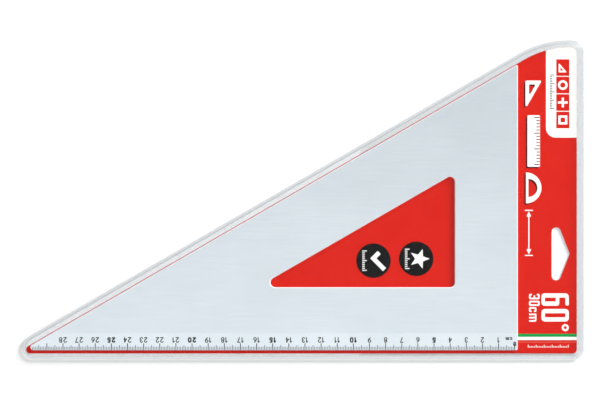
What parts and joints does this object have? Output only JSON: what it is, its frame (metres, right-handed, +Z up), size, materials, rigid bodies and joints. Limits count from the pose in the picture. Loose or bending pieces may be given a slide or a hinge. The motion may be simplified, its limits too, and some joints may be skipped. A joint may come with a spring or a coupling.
{
  "type": "drafting set square",
  "caption": "Aluminium thirty-sixty set square with a bevelled scale edge and a triangular cut-out, held with its printed header card in a clear sleeve with a hang slot.",
  "frame": {"origin": "middle of the sleeve's outline, on its underside", "axes": "+X from the sharp tip towards the header and the open end, +Y across the pack away from the scale edge, +Z up out of the front of the pack as it lies flat"},
  "size_m": [0.3482, 0.1976, 0.0033],
  "materials": {
    "clear_film": "clear flexible vinyl film, glossy",
    "red_card": "coated board printed red",
    "aluminium_plate": "fine satin anodised",
    "scale_ink": "dark printed ink"
  },
  "bodies": {
    "sleeve": {"rear_film": "clear_film", "front_film": "clear_film"},
    "card": {"insert_card": "red_card"},
    "square": {"set_square": "aluminium_plate", "scale_lines": "scale_ink", "scale_numerals": "scale_ink"}
  },
  "joints": [
    {"name": "card_slide", "type": "slide", "parent": "sleeve", "child": "card", "axis": [1, 0, 0], "range_m": [0, 0.35]},
    {"name": "square_slide", "type": "slide", "parent": "sleeve", "child": "square", "axis": [1, 0, 0], "range_m": [0, 0.346]}
  ]
}
